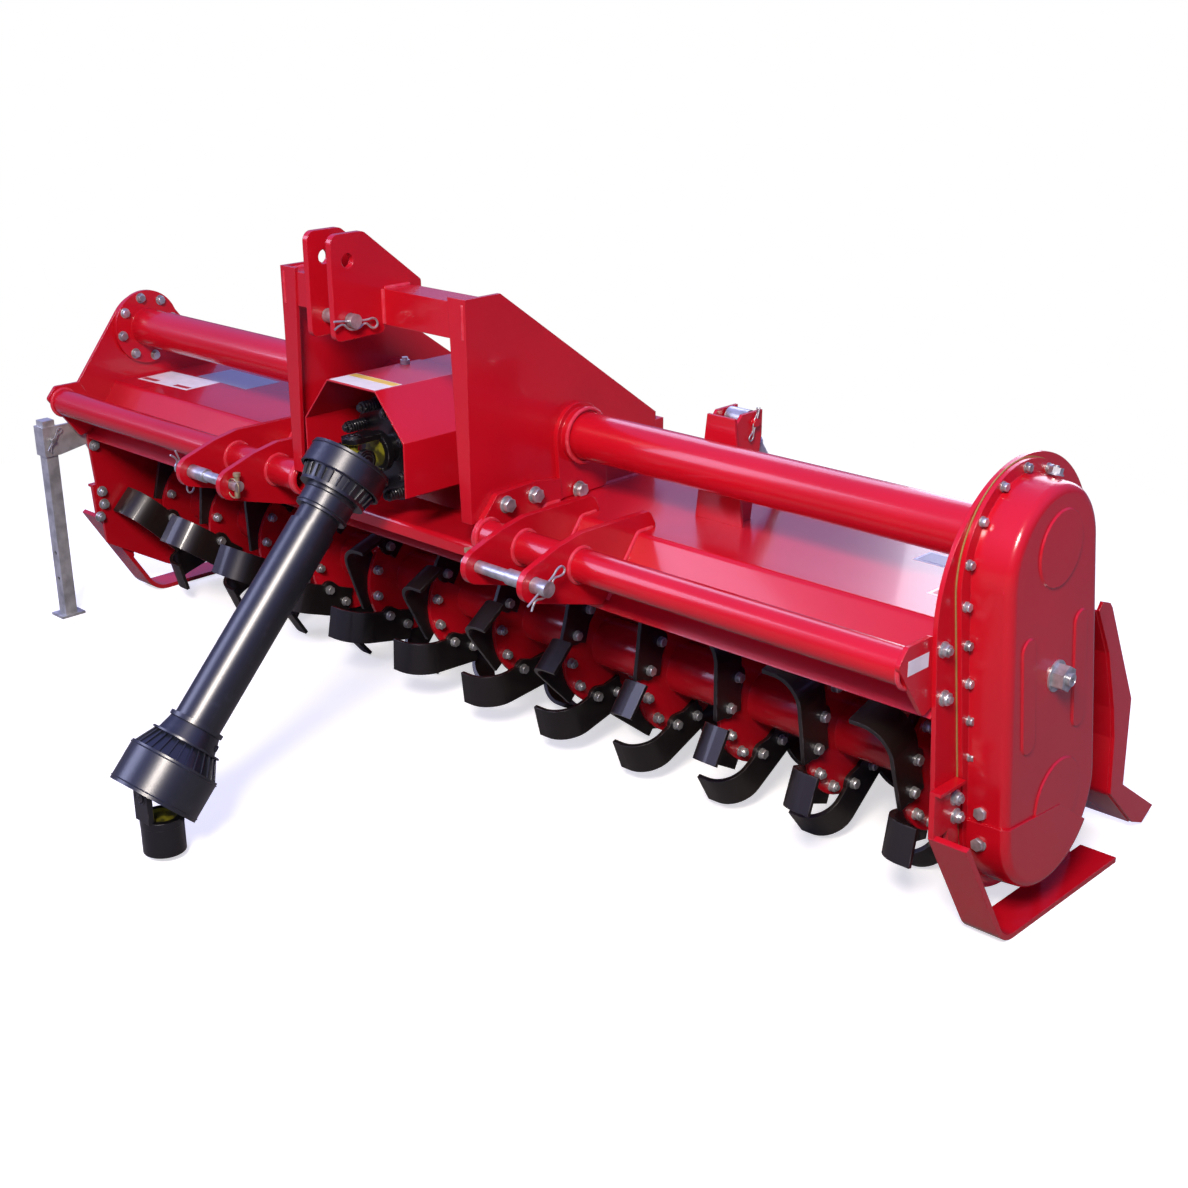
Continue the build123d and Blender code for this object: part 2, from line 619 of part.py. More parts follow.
def raised_case(grow):
    """The raised part of the cover, grown by so much all round and in front."""
    outline = rounded((0, case_top_z, case_top_r + grow), (*case_low, case_low_r + grow))
    body = extrude(Plane.YZ.offset(case_x) * outline, case_depth + grow, taper=case_draft)
    return fillet(body.faces().sort_by(Axis.X)[-1].edges(), case_edge_r)


def pressing(outline):
    """A figure pressed out of the cover's front, with sloping sides."""
    return extrude(Plane.YZ.offset(case_front_x - boss_h) * outline, 2 * boss_h, taper=boss_taper)


flange_x = half_width + gasket_t
case_x = flange_x + case_flange_t
case_front_x = case_x + case_depth
nodes["gear_gasket"] = plate(
    rounded((*flange_top, case_flange_top_r + 1.5), (rotor_y, rotor_z, case_flange_low_r + 1.5)),
    half_width, gasket_t)
cover = plate(rounded((*flange_top, case_flange_top_r), (rotor_y, rotor_z, case_flange_low_r)),
              flange_x, case_flange_t) + raised_case(0)
cover += pressing(Pos(boss_y, boss_z) * Circle(boss_r + boss_h))
cover += pressing(Pos(rotor_y, rotor_z) * Circle(low_boss_r + boss_h))
for rib in ribs:
    cover += pressing(rounded(*[(y, z, rib_w / 2 + boss_h) for y, z in rib]))
nodes["gear_cover"] = cover

guard_region = plate(polygon((-140, 232), (85, 216), (222, 124), (222, 40), (-140, 40)),
                     case_x, 2 * case_depth)
nodes["gear_cover_guard"] = (raised_case(guard_t) - cover) & guard_region
nut_x = case_front_x + idler_washer_t
nodes["idler_nut"] = (
    Pos(nut_x, idler_y, idler_z) * Rot(0, 90, 0) * extrude(RegularPolygon(idler_r, 6), idler_l)
    + bar_x(idler_y, idler_z, idler_washer_r, case_front_x, nut_x))

# ---- skids --------------------------------------------------------------------------------------
skid_slope = atan2(skid_top_z, skid_heel_y - skid_top_y)
half_skid = skid_t / 2
skid_path = FilletPolyline(
    (skid_top_y + half_skid * sin(skid_slope), skid_top_z + half_skid * cos(skid_slope)),
    (skid_heel_y + half_skid * tan(skid_slope / 2), half_skid),
    (skid_rear_y, half_skid), radius=skid_bend_r)
bar = sheet(skid_path, skid_t, half_width, half_width + skid_w)
front_arm = plate(rounded((-130, 250, 12), (-116, 200, 12), (-96, 110, 5), (-124, 168, 5)),
                  half_width, skid_bracket_t)
front_arm += plate(rounded((-178, 304, 6), (-118, 304, 6), (-112, 240, 8), (-172, 232, 8)),
                   half_width, skid_bracket_t)
front_arm += block((half_width, half_width + skid_lip), (-184, -112), (304, 310))
rear_arm = plate(rounded((222, 98, 20), (190, 14, 6), (280, 14, 6)), half_width, skid_bracket_t)
skid = bar + front_arm + rear_arm
nodes["skid_right"] = skid
nodes["skid_left"] = opposite(skid)

# ---- parking stand ------------------------------------------------------------------------------
stand_x = -half_width - socket_w / 2


def square(width, low, high):
    return block((stand_x - width / 2, stand_x + width / 2),
                 (stand_y - width / 2, stand_y + width / 2), (low, high))


socket = square(socket_w, socket_top_z - socket_h, socket_top_z) - square(
    stand_w + 2 * hole_gap, socket_top_z - socket_h, socket_top_z)
socket_rear = stand_y + socket_w / 2
bracket = polygon((socket_rear, socket_top_z - socket_h), (socket_rear, socket_top_z),
                  (-140, socket_top_z), (-140, socket_top_z - 50))
nodes["stand_socket"] = socket + plate(bracket, -half_width - gusset_t, gusset_t)
leg = square(stand_w, foot_t, stand_top_z) - square(
    stand_w - 2 * stand_wall, foot_t, stand_top_z - stand_wall)
for z in stand_holes_z:
    leg -= bar_y(stand_x, z, stand_hole_r, stand_y - stand_w, stand_y + stand_w)
nodes["stand_leg"] = leg + block((stand_x - foot_x / 2, stand_x + foot_x / 2),
                                 (stand_y - foot_y / 2, stand_y + foot_y / 2), (0, foot_t))

# ---- tailboard ----------------------------------------------------------------------------------
board_line = ((236, 498), (289, 409), (331, 293), (347, 230), (358, 117), (459, 23))
board_path = FilletPolyline(*board_line, radius=20)
board_inner_x = half_width + board_over - board_end_t
board = sheet(board_path, board_t, -board_inner_x, board_inner_x)
hinge_room = bar_x(hinge_y, hinge_z, hinge_pin_r + hole_gap, -half_width, half_width)
tab = rounded((hinge_y, hinge_z, hinge_r), (242, 497, 6), (262, 464, 6))
tab_start = lug_t / 2 + tab_gap
for x in hinge_xs:
    board += plate(tab, x + tab_start, tab_t) + plate(tab, x - tab_start - tab_t, tab_t)
rod_lug = rounded((rod_lug_y, rod_lug_z, rod_lug_r), (262, 462, 4), (288, 418, 4))
cheek_start = rod_lug_gap / 2
for x in (-tower_x, tower_x):
    cheeks = plate(rod_lug, x + cheek_start, rod_lug_t) + plate(
        rod_lug, x - cheek_start - rod_lug_t, rod_lug_t)
    pin_reach = cheek_start + rod_lug_t + 4
    board += cheeks + bar_x(rod_lug_y, rod_lug_z, rod_pin_r, x - pin_reach, x + pin_reach)
nodes["tailboard"] = board - hinge_room
board_end = plate(polygon(
    (246, 512), (272, 503), (282, 492), (394, 291), (403, 120), (537, 29), (500, 6),
    *reversed(board_line)), board_inner_x, board_end_t)
nodes["tailboard_ends"] = Compound([board_end, opposite(board_end)])

# ---- lift rods ----------------------------------------------------------------------------------
tower_side = polygon(
    (tower_front_y, deck_top_z), (tower_front_y, tower_top_z - 24),
    (tower_front_y + 22, tower_top_z), (tower_pin_y + 23, tower_top_z),
    (tower_pin_y + 23, tower_pin_z - 26), (tower_pin_y - 1, deck_top_z))
half_tower = tower_w / 2
front_top_z = tower_top_z - 4
tower_front = extrude(Plane(origin=(tower_x, tower_front_y, 0), x_dir=(1, 0, 0), z_dir=(0, -1, 0))
                      * polygon((-tower_foot_half_w, deck_top_z), (tower_foot_half_w, deck_top_z),
                                (half_tower, front_top_z), (-half_tower, front_top_z)), -tower_t)
tower = (plate(tower_side, tower_x - half_tower, tower_t)
         + plate(tower_side, tower_x + half_tower - tower_t, tower_t) + tower_front
         + bar_x(tower_pin_y, tower_pin_z, tower_pin_r, tower_x - half_tower - 8,
                 tower_x + half_tower + 8))
nodes["rod_towers"] = Compound([tower, opposite(tower)])

rod_angle = atan2(tower_pin_z - rod_lug_z, rod_lug_y - tower_pin_y)
rod_dir = (0, cos(rod_angle), -sin(rod_angle))
rod_length = ((rod_lug_y - tower_pin_y) ** 2 + (tower_pin_z - rod_lug_z) ** 2) ** 0.5
on_rod = Plane(origin=(tower_x, tower_pin_y, tower_pin_z), x_dir=(1, 0, 0), z_dir=rod_dir)
eye_half = sleeve_eye_w / 2
sleeve = bar_x(0, 0, sleeve_r + 3, -eye_half, eye_half) + bar_z(sleeve_r, 0, sleeve_l)
sleeve -= bar_z(rod_r + slide_gap, rod_start - 70, sleeve_l)
sleeve -= bar_x(0, 0, tower_pin_r + hole_gap, -eye_half, eye_half)
nodes["rod_sleeve_right"] = on_rod * sleeve
nodes["rod_sleeve_left"] = opposite(on_rod * sleeve)

eye = rounded((0, rod_length - 34, rod_r - 2), (0, rod_length, rod_lug_r),
              (0, rod_length + rod_slot_l, rod_lug_r))
slot_r = rod_pin_r + rod_slot_gap
slot = rounded((0, rod_length, slot_r), (0, rod_length + rod_slot_l, slot_r))
rod = bar_z(rod_r, rod_start, rod_length - 24)
rod = rod + plate(eye, -rod_eye_t / 2, rod_eye_t) - plate(slot, -rod_eye_t / 2, rod_eye_t)
nodes["lift_rod_right"] = on_rod * rod
nodes["lift_rod_left"] = opposite(on_rod * rod)

# ---- place over the origin and write ------------------------------------------------------------
whole = Compound([solid for piece in nodes.values() for solid in piece.solids()]).bounding_box()
shift = Pos(-(whole.min.X + whole.max.X) / 2, -(whole.min.Y + whole.max.Y) / 2, -whole.min.Z)

if __name__ == "__main__":
    os.makedirs("parts", exist_ok=True)
    for name, piece in nodes.items():
        export_step(shift * piece, f"parts/{name}.step")
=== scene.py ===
"""Tractor-mounted rotary tiller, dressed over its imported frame.

Sizes are in metres where Blender takes them; at() and the modelling helpers take mm.
"""
import json
from math import atan, atan2, acos, cos, hypot, pi, radians, sin

import bpy
from mathutils import Matrix, Vector


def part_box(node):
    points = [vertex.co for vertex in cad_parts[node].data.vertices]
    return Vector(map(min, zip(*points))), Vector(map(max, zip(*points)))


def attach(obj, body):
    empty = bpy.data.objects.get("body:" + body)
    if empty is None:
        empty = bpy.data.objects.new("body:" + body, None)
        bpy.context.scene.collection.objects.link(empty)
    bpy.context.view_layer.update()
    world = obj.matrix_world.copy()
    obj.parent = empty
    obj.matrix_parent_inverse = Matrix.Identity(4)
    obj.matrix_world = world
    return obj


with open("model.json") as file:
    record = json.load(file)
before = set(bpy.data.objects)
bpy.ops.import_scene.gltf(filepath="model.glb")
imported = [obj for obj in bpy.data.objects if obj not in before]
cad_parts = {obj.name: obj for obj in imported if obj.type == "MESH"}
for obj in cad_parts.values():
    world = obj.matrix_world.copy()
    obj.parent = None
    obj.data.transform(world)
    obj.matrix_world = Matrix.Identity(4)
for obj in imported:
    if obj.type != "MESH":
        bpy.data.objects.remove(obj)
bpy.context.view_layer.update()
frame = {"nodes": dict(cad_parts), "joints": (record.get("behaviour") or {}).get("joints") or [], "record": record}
nodes = frame["nodes"]
record = frame["record"]
joint_at = {row["name"]: Vector(row["pos_m"]) for row in frame["joints"] if "pos_m" in row}
joint_axis = {row["name"]: Vector(row["axis"]) for row in frame["joints"]}

# ---- datum ----------------------------------------------------------------------------
# The middle of the hitch, on the ground under the main tube's axis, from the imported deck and
# tube. Places below are given in mm from it: x to the gear case, y to the rear and z up.
deck_low, deck_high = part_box("deck")
tube_low, tube_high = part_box("main_tube_left")
datum = Vector(((deck_low[0] + deck_high[0]) / 2, (tube_low[1] + tube_high[1]) / 2, 0.0))


def at(x, y, z):
    """A place on the machine, from mm."""
    return datum + Vector((x, y, z)) / 1000


# ---- studio ---------------------------------------------------------------------------
# A white floor and room to the camera; the machine itself is lit as in a yard, over dull
# ground and under a blue sky, by a warm key lamp and three large soft ones: a sheen lamp in
# front and two behind. The camera stands ahead of the gear-case end, above the machine.
stage_half = 14.0
sky_low = "#6A5E66"
sky_high = "#979CFF"
floor_dark = "#83807C"
floor_fade = (1.5, 2.6)
lamp_aim_z = 0.45
camera_place = at(2455.4, -2262.337, 1516.69)
camera_yaw = 43.461
camera_tilt = -22.061
camera_roll = -0.129
camera_lens = 52.52
camera_shift = (-0.0028, 0.0438)
camera_sensor = 36.0


def linear(hex_colour):
    """An sRGB hex colour as linear RGBA."""
    parts = [int(hex_colour[i:i + 2], 16) / 255 for i in (1, 3, 5)]
    return [c / 12.92 if c <= 0.04045 else ((c + 0.055) / 1.055) ** 2.4 for c in parts] + [1.0]


def add_node(tree, kind, settings=None, **inputs):
    """Adds a shader node; an input is a value, or a (node, socket) pair that feeds it."""
    node = tree.nodes.new("ShaderNode" + kind)
    for key, value in (settings or {}).items():
        setattr(node, key, value)
    for key, value in inputs.items():
        name = key.replace("_", " ")
        socket = node.inputs[int(name[1:])] if name[1:].isdigit() else node.inputs[name]
        if isinstance(value, tuple) and isinstance(value[0], bpy.types.Node):
            tree.links.new(value[0].outputs[value[1]], socket)
        else:
            socket.default_value = value
    return node


def empty_material(name):
    """A new material with only its tree; returns both."""
    material = bpy.data.materials.new(name)
    material.use_nodes = True
    tree = material.node_tree
    tree.nodes.clear()
    return material, tree


def finish_material(tree, shader):
    """Sends a shader to the material's output."""
    output = tree.nodes.new("ShaderNodeOutputMaterial")
    tree.links.new(shader.outputs[0], output.inputs["Surface"])


scene = bpy.context.scene
scene.view_settings.view_transform = "Standard"
world = bpy.data.worlds.new("white_room")
scene.world = world
world.use_nodes = True
sky = world.node_tree
sky.nodes.clear()
rays = add_node(sky, "LightPath")
way = add_node(sky, "TexCoord")
way_parts = add_node(sky, "SeparateXYZ", Vector=(way, "Generated"))
height = add_node(sky, "MapRange", Value=(way_parts, 2), From_Min=-0.15, From_Max=0.6)
sky_shade = add_node(sky, "MixRGB", Fac=(height, 0), Color1=linear(sky_low),
                     Color2=linear(sky_high))
room_light = add_node(sky, "Background", Color=(sky_shade, 0), Strength=0.85)
room_white = add_node(sky, "Background", Color=(1, 1, 1, 1), Strength=1.0)
room = add_node(sky, "MixShader", i0=(rays, "Is Camera Ray"), i1=(room_light, 0),
                i2=(room_white, 0))
room_output = sky.nodes.new("ShaderNodeOutputWorld")
sky.links.new(room.outputs[0], room_output.inputs["Surface"])

floor_material, tree = empty_material("pale_floor")
floor_place = add_node(tree, "TexCoord")
floor_reach = add_node(tree, "VectorMath", {"operation": "LENGTH"}, i0=(floor_place, "Object"))
floor_away = add_node(tree, "MapRange", Value=(floor_reach, "Value"),
                      From_Min=floor_fade[0], From_Max=floor_fade[1])
floor_rays = add_node(tree, "LightPath")
floor_paint = add_node(tree, "BsdfDiffuse", Color=linear("#D9D9D7"))
floor_glow = add_node(tree, "Emission", Color=(1, 1, 1, 1), Strength=0.6)
floor_near = add_node(tree, "AddShader", i0=(floor_paint, 0), i1=(floor_glow, 0))
floor_white = add_node(tree, "Emission", Color=(1, 1, 1, 1), Strength=1.0)
floor_shown = add_node(tree, "MixShader", i0=(floor_away, 0), i1=(floor_near, 0),
                       i2=(floor_white, 0))
floor_ground = add_node(tree, "BsdfDiffuse", Color=linear(floor_dark))
finish_material(tree, add_node(tree, "MixShader", i0=(floor_rays, "Is Camera Ray"),
                               i1=(floor_ground, 0), i2=(floor_shown, 0)))
bpy.ops.mesh.primitive_plane_add(size=2 * stage_half, location=(0, 0, 0))
floor = bpy.context.object
floor.name = "studio_floor"
floor.data.materials.append(floor_material)

# Each lamp: where it stands, its size, its power in watts and its colour.
lamps = (
    ("key_lamp", (3.0, -3.9, 4.3), 1.4, 440, "#FFF4EA"),
    ("sheen_lamp", (-4.4, -4.0, 3.6), 3.0, 150, "#D2D6FF"),
    ("back_lamp", (-2.5, 3.6, 3.8), 2.6, 60, "#D8DCFF"),
    ("rear_lamp", (-0.6, 5.2, 2.0), 3.0, 110, "#F2F0FF"),
)
for name, place, size, power, colour in lamps:
    bpy.ops.object.light_add(type="AREA", location=place)
    lamp = bpy.context.object
    lamp.name = name
    lamp.data.size = size
    lamp.data.energy = power
    lamp.data.color = linear(colour)[:3]
    aim = Vector((0, 0, lamp_aim_z)) - lamp.location
    lamp.rotation_euler = aim.to_track_quat("-Z", "Y").to_euler()

bpy.ops.object.camera_add(location=camera_place)
camera = bpy.context.object
camera.rotation_euler = (Matrix.Rotation(radians(camera_yaw), 3, "Z")
                         @ Matrix.Rotation(radians(90 + camera_tilt), 3, "X")
                         @ Matrix.Rotation(radians(camera_roll), 3, "Z")).to_euler()
camera.data.lens = camera_lens
camera.data.sensor_width = camera_sensor
camera.data.shift_x, camera.data.shift_y = camera_shift
scene.camera = camera

# ---- enamelled steelwork --------------------------------------------------------------
# Folded and welded plate under a thick coat of implement enamel, sprayed and baked: a deep
# red with a wet gloss, faint orange peel, darker clouds at random and pale rubbed edges.
enamel_red = "#C40D1E"
enamel_deep = "#AC0A18"
enamel_edge = "#DE4450"
orange_peel = 0.004
edge_width = 0.0022


def edge_mask(tree, width):
    """White along sharp edges: where the rounded normal leaves the flat one."""
    rounded = add_node(tree, "Bevel", {"samples": 4}, Radius=width)
    flat = add_node(tree, "NewGeometry")
    same = add_node(tree, "VectorMath", {"operation": "DOT_PRODUCT"},
                    i0=(rounded, 0), i1=(flat, "Normal"))
    return rounded, add_node(tree, "MapRange", Value=(same, "Value"),
                             From_Min=0.98, From_Max=0.80, To_Min=0.0, To_Max=1.0)


def enamel_shade(tree, main, deep, edge, edge_share):
    """Cloudy paint with pale edges, rubbed wear on plate and a painted highlight on weld beads: returns the
    colour's node and the rounded normal's.
    """
    place = add_node(tree, "TexCoord")
    cloud = add_node(tree, "TexNoise", Vector=(place, "Object"), Scale=2.2, Detail=3.0)
    tone = add_node(tree, "MapRange", Value=(cloud, 0), From_Min=0.35, From_Max=0.75)
    base = add_node(tree, "MixRGB", Fac=(tone, 0), Color1=linear(main), Color2=linear(deep))
    rounded, rim = edge_mask(tree, edge_width)
    rub = add_node(tree, "TexNoise", Vector=(place, "Object"), Scale=60.0, Detail=4.0)
    rub_and_highlight_spots = add_node(tree, "MapRange", Value=(rub, 0), From_Min=0.45, From_Max=0.65,
                         To_Min=0.0, To_Max=edge_share)
    # On plate the pale edges are rubbed wear; on weld beads they are a painted highlight.
    wear_and_highlight = add_node(tree, "Math", {"operation": "MULTIPLY"}, i0=(rim, 0), i1=(rub_and_highlight_spots, 0))
    return add_node(tree, "MixRGB", Fac=(wear_and_highlight, 0), Color1=(base, 0), Color2=linear(edge)), rounded


def enamel_coat(tree, shade, rounded, roughness, ripple=0.03, ripple_size=orange_peel):
    """A gloss coat over a colour, with the fine waves of sprayed paint."""
    place = add_node(tree, "TexCoord")
    peel = add_node(tree, "TexNoise", Vector=(place, "Object"), Scale=1 / ripple_size, Detail=1.0)
    bump = add_node(tree, "Bump", Strength=ripple, Distance=0.0006, Height=(peel, 0),
                    Normal=(rounded, 0))
    return add_node(tree, "BsdfPrincipled", Base_Color=(shade, 0), Roughness=roughness,
                    Coat_Weight=0.35, Coat_Roughness=0.06, Normal=(bump, 0))


def enamel(name, main, deep, edge, roughness=0.24, edge_share=0.4, ripple=0.03,
           ripple_size=orange_peel):
    """A finish of implement enamel."""
    material, tree = empty_material(name)
    shade, rounded = enamel_shade(tree, main, deep, edge, edge_share)
    finish_material(tree, enamel_coat(tree, shade, rounded, roughness, ripple, ripple_size))
    return material


def finish_nodes(names, material):
    """Gives CAD nodes one finish, through their own material slots."""
    for name in names:
        for slot in nodes[name].material_slots:
            slot.material = material


red_enamel = enamel("red_implement_enamel", enamel_red, enamel_deep, enamel_edge)
slot_of = {part["node"]: part["material_slot"] for part in record["subparts"]}
finish_nodes([name for name in nodes if slot_of[name] == "red_paint"], red_enamel)

# ---- tines and black driveline steel --------------------------------------------------
# Forged spring-steel tines dipped in black enamel, and cast yokes, shafts and clutch plates
# sprayed with the same. Handling has rubbed the arrises to grey steel. Brown dust lies in
# clouds on the tines.
enamel_black = "#0E0D0F"
enamel_black_deep = "#0B0B0D"
steel_rub = "#7F7D80"
tine_black = "#0E0C0D"
tine_dust = "#1E1713"

black_enamel = enamel("black_dip_enamel", enamel_black, enamel_black_deep, steel_rub,
                      roughness=0.34, edge_share=0.6)
finish_nodes([name for name in nodes if slot_of[name] == "black_paint"], black_enamel)

dusty_enamel = enamel("dusty_black_enamel", tine_black, tine_dust, steel_rub,
                      roughness=0.4, edge_share=0.6)
finish_nodes(["tines_left", "tines_right"], dusty_enamel)

# ---- modelling helpers and their first use: zinc-plated bolts ---------------------------
# Hexagon bolts, nuts and washers, cold-forged and zinc plated with a pale passivate: a cool
# satin metal with faint dull patches. Hitch pins and lift rods have the same plating.
zinc_pale = "#CBCDCD"
zinc_dull = "#9B9C9A"
gear_flange = (1198, (2, 641), 147, (78, 229.5), 161)   # its front face, and its bolts' belt
bolt_pitch = 68.0
rotor_flange_x = (-1101.0, 196.0, 12)                   # the first flange, the pitch, how many
rotor_axis = (78.0, 229.5)
tine_bolt = (108.0, 29.0)
first_turn, stagger = 142.8, 8.4
main_tube_z = 669
tine_head_washer = 10.5


def metal(name, pale, dull, spot_scale, rough):
    """A plated metal with duller patches."""
    material, tree = empty_material(name)
    place = add_node(tree, "TexCoord")
    spots = add_node(tree, "TexNoise", Vector=(place, "Object"), Scale=spot_scale, Detail=5.0)
    patch = add_node(tree, "MapRange", Value=(spots, 0), From_Min=0.4, From_Max=0.65)
    shade = add_node(tree, "MixRGB", Fac=(patch, 0), Color1=linear(pale), Color2=linear(dull))
    roughness = add_node(tree, "MapRange", Value=(spots, 0), To_Min=rough, To_Max=rough + 0.18)
    bump = add_node(tree, "Bump", Strength=0.1, Distance=0.0003, Height=(spots, 0))
    finish_material(tree, add_node(tree, "BsdfPrincipled", Base_Color=(shade, 0), Metallic=0.72,
                                   Roughness=(roughness, 0), Normal=(bump, 0)))
    return material


def stand(place, direction, spin=0.0):
    """The pose of something that stands at a place, its +Z along a direction."""
    turn = Vector(direction).to_track_quat("Z", "Y").to_matrix().to_4x4()
    return Matrix.Translation(place) @ turn @ Matrix.Rotation(radians(spin), 4, "Z")


def round_bar(radius, low, high, sides=20, top=None):
    """A cylinder, or a cone with a top radius, up local Z between two heights in mm."""
    bpy.ops.mesh.primitive_cone_add(
        vertices=sides, radius1=radius / 1000, radius2=(radius if top is None else top) / 1000,
        depth=(high - low) / 1000, location=(0, 0, (low + high) / 2000))
    return bpy.context.object


def ring(radius, thickness, z=0.0, major=28, minor=8):
    """A round ring about local Z."""
    bpy.ops.mesh.primitive_torus_add(major_radius=radius / 1000, minor_radius=thickness / 1000,
                                     major_segments=major, minor_segments=minor,
                                     location=(0, 0, z / 1000))
    return bpy.context.object


def slab(x, y, z, bevel=0.0):
    """A block from three (low, high) pairs in mm, with its edges broken."""
    bpy.ops.mesh.primitive_cube_add(size=1, location=[(a + b) / 2000 for a, b in (x, y, z)])
    piece = bpy.context.object
    piece.scale = [(b - a) / 1000 for a, b in (x, y, z)]
    bpy.ops.object.transform_apply(location=True, rotation=False, scale=True)
    if bevel:
        soften(piece, bevel)
    return piece


def soften(piece, width, segments=1):
    """Breaks a piece's sharp edges."""
    bpy.context.view_layer.objects.active = piece
    modifier = piece.modifiers.new("broken_edges", "BEVEL")
    modifier.width = width / 1000
    modifier.segments = segments
    modifier.limit_method = "ANGLE"
    bpy.ops.object.modifier_apply(modifier=modifier.name)


def wire(points, radius, closed=False, soft=True):
    """A round wire through points given in mm about local zero, or in metres as vectors."""
    line = bpy.data.curves.new("wire", "CURVE")
    line.dimensions = "3D"
    spline = line.splines.new("NURBS" if soft else "POLY")
    spline.points.add(len(points) - 1)
    for point, place in zip(spline.points, points):
        scale = 1 if isinstance(place, Vector) else 1000
        point.co = [c / scale for c in place] + [1.0]
    spline.use_cyclic_u = closed
    if soft:
        spline.order_u = 3
        spline.use_endpoint_u = not closed
        spline.resolution_u = 4
    line.bevel_depth = radius / 1000
    line.bevel_resolution = 2
    line.use_fill_caps = True
    piece = bpy.data.objects.new("wire", line)
    scene.collection.objects.link(piece)
    bpy.ops.object.select_all(action="DESELECT")
    piece.select_set(True)
    bpy.context.view_layer.objects.active = piece
    bpy.ops.object.convert(target="MESH")
    return bpy.context.object


def join(parts):
    """Joins pieces into the first of them, with its place in its mesh."""
    bpy.ops.object.select_all(action="DESELECT")
    for part in parts:
        part.select_set(True)
    bpy.context.view_layer.objects.active = parts[0]
    if len(parts) > 1:
        bpy.ops.object.join()
    bpy.ops.object.transform_apply(location=True, rotation=True, scale=True)
    return bpy.context.object


def dress(piece, name, material, body):
    """Names a finished piece and gives it its material, body and slot."""
    piece.name = name
    piece.data.name = name
    piece.data.materials.append(material)
    bpy.context.view_layer.objects.active = piece
    bpy.ops.object.shade_smooth_by_angle(angle=radians(35))
    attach(piece, body)
    return piece


def set_out(master, name, material, body, poses):
    """Copies a small master to each pose, joins the copies and puts the master away."""
    copies = []
    for pose in poses:
        copy = master.copy()
        copy.data = master.data.copy()
        scene.collection.objects.link(copy)
        copy.matrix_world = pose
        copies.append(copy)
    bpy.data.objects.remove(master)
    bpy.context.view_layer.update()
    return dress(join(copies), name, material, body)


def hex_bolt(across, height, washer, stud=0.0):
    """A hexagon head or nut on its washer, with a stud's end above a nut."""
    head = round_bar(across / 1.732, 2, 2 + height, sides=6)
    soften(head, 0.9)
    parts = [head, round_bar(washer, 0, 2.2, sides=18)]
    if stud:
        parts.append(round_bar(across * 0.3, height, 2 + height + stud, sides=10))
    return join(parts)


def belt(first, first_r, second, second_r, step):
    """Points spaced along a belt round two circles, each (y, z)."""
    run_y, run_z = second[0] - first[0], second[1] - first[1]
    span = hypot(run_y, run_z)
    lean = acos((first_r - second_r) / span)
    heading = atan2(run_z, run_y)
    straight = (span ** 2 - (first_r - second_r) ** 2) ** 0.5
    wraps = (2 * pi - 2 * lean, 2 * lean)
    total = first_r * wraps[0] + second_r * wraps[1] + 2 * straight
    count = round(total / step)
    points = []
    for k in range(count):
        s = total * k / count
        if s < first_r * wraps[0]:
            turn = heading + lean + s / first_r
            points.append((first[0] + first_r * cos(turn), first[1] + first_r * sin(turn)))
            continue
        s -= first_r * wraps[0]
        for turn, way_sign in ((heading - lean, 1), (heading + lean, -1)):
            if s < straight:
                centre, radius = (first, first_r) if way_sign > 0 else (second, second_r)
                y = centre[0] + radius * cos(turn) + way_sign * s * run_y / span
                z = centre[1] + radius * sin(turn) + way_sign * s * run_z / span
                points.append((y, z))
                break
            s -= straight
            if way_sign > 0:
                if s < second_r * wraps[1]:
                    turn = heading - lean + s / second_r
                    points.append((second[0] + second_r * cos(turn),
                                   second[1] + second_r * sin(turn)))
                    break
                s -= second_r * wraps[1]
    return points


zinc_plate = metal("zinc_plated_steel", zinc_pale, zinc_dull, 55.0, 0.26)
finish_nodes([name for name in nodes if slot_of[name] in ("zinc", "bare_steel")], zinc_plate)

face_x = gear_flange[0]
set_out(hex_bolt(13, 7, 8.4), "gear_case_bolts", zinc_plate, "machine",
        [stand(at(face_x, y, z), (1, 0, 0), 17 * k)
         for k, (y, z) in enumerate(belt(*gear_flange[1:], bolt_pitch)) if z > 150])

# Nuts on the two side plates, each (x, y, z, way along x).
plate_nuts = ((1188, -177, 543, 1), (1188, -166, 461, 1), (1198, -126, 282, 1),
              (1198, -121, 248, 1), (1188, 214, 120, 1), (-1180, -173, 409, 1),
              (-1180, -166, 293, 1), (-1180, -164, 261, 1), (-1180, -178, 232, 1),
              (-1188, -173, 409, -1), (-1198, -126, 282, -1), (-1198, -121, 248, -1))
set_out(hex_bolt(19, 9, 13, stud=4), "side_plate_nuts", zinc_plate, "machine",
        [stand(at(x, y, z), (way_x, 0, 0), 23 * k)
         for k, (x, y, z, way_x) in enumerate(plate_nuts)])

tube_bolt_ring = 71.0
set_out(hex_bolt(17, 8, 12), "tube_flange_bolts", zinc_plate, "machine",
        [stand(at(-1170, tube_bolt_ring * cos(radians(45 * k + 10)),
                  main_tube_z + tube_bolt_ring * sin(radians(45 * k + 10))), (1, 0, 0), 31 * k)
         for k in range(8)])

hitch_bolts = ((-196, 577), (-124, 579), (-7, 564))
hitch_outer_x, hitch_inner_x = 270.7, 250
set_out(hex_bolt(24, 12, 16), "hitch_plate_bolts", zinc_plate, "machine",
        [stand(at(side * hitch_outer_x, y, z), (side, 0, 0), 12)
         for side in (1, -1) for y, z in hitch_bolts])
set_out(hex_bolt(24, 13, 16, stud=5), "hitch_plate_nuts", zinc_plate, "machine",
        [stand(at(side * hitch_inner_x, y, z), (-side, 0, 0), 8)
         for side in (1, -1) for y, z in hitch_bolts])


